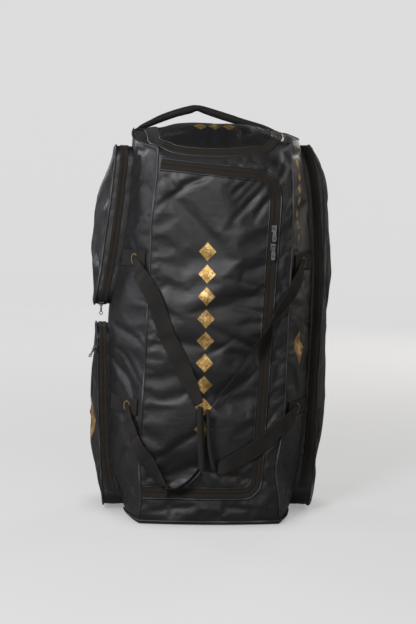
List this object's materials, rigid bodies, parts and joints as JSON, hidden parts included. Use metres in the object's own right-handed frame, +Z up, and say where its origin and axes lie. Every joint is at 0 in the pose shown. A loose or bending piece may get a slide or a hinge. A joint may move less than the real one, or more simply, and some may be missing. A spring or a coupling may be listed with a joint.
{
  "type": "cricket kit bag",
  "caption": "Tall soft kit holdall standing on its end, with a zipped front lid, a zipped domed end, side pockets, crossing webbing straps with padded grips and a grab handle.",
  "frame": {"origin": "centre of the flat base that the bag stands on, midway between the front and the back", "axes": "+Z up along the standing bag, +Y from the front lid towards the back, +X to the right as seen from the front"},
  "size_m": [0.5904, 0.4048, 0.985],
  "materials": {
    "body_cloth": "satin",
    "base_cloth": "matte",
    "webbing": "matte",
    "zip_tape": "matte",
    "piping": "satin",
    "gold_thread": "satin",
    "zip_metal": "satin"
  },
  "bodies": {
    "bag": {"back_panel": "body_cloth", "base_panel": "base_cloth", "base_piping": "piping", "end_flap": "body_cloth", "end_panel": "body_cloth", "end_zip_tape": "zip_tape", "front_panel": "body_cloth", "grab_handle": "webbing", "grab_handle_left_foot": "webbing", "grab_handle_right_foot": "webbing", "left_grip": "webbing", "left_lower_anchor": "webbing", "left_lower_ring": "gold_thread", "left_lower_strap": "webbing", "left_piping": "piping", "left_side_panel": "body_cloth", "left_upper_anchor": "webbing", "left_upper_ring": "gold_thread", "left_upper_strap": "webbing", "lid_lower_slider": "zip_metal", "lid_panel": "body_cloth", "lid_upper_slider": "zip_metal", "lid_zip_tape": "zip_tape", "lower_left_pocket_face": "body_cloth", "lower_left_pocket_gusset": "body_cloth", "lower_left_pocket_piping": "piping", "lower_left_pocket_zip": "zip_tape", "lower_left_slider": "zip_metal", "right_grip": "webbing", "right_lower_anchor": "webbing", "right_lower_ring": "gold_thread", "right_lower_strap": "webbing", "right_piping": "piping", "right_pocket_face": "body_cloth", "right_pocket_gusset": "body_cloth", "right_pocket_piping": "piping", "right_pocket_zip": "zip_tape", "right_side_panel": "body_cloth", "right_upper_anchor": "webbing", "right_upper_ring": "gold_thread", "right_upper_strap": "webbing", "upper_left_pocket_face": "body_cloth", "upper_left_pocket_gusset": "body_cloth", "upper_left_pocket_piping": "piping", "upper_left_pocket_zip": "zip_tape", "upper_left_slider": "zip_metal"},
    "lid_upper_pull": {"lid_upper_pull": "zip_metal"},
    "lid_lower_pull": {"lid_lower_pull": "zip_metal"},
    "upper_left_pull": {"upper_left_pull": "zip_metal"},
    "lower_left_pull": {"lower_left_pull": "zip_metal"}
  },
  "joints": [
    {"name": "lid_upper_pull_hinge", "type": "hinge", "parent": "bag", "child": "lid_upper_pull", "pos_m": [0.12704, -0.19441, 0.69002], "axis": [-0.995, -0.0994, 0], "range_deg": [0, 165]},
    {"name": "lid_lower_pull_hinge", "type": "hinge", "parent": "bag", "child": "lid_lower_pull", "pos_m": [0.12555, -0.1946, 0.64799], "axis": [-0.995, -0.1001, 0], "range_deg": [0, 150]},
    {"name": "upper_left_pull_hinge", "type": "hinge", "parent": "bag", "child": "upper_left_pull", "pos_m": [-0.26, -0.03285, 0.49379], "axis": [-1, 0, 0], "range_deg": [-60, 90]},
    {"name": "lower_left_pull_hinge", "type": "hinge", "parent": "bag", "child": "lower_left_pull", "pos_m": [-0.27596, -0.06141, 0.392], "axis": [-0.6606, 0.7507, 0], "range_deg": [-30, 120]}
  ]
}
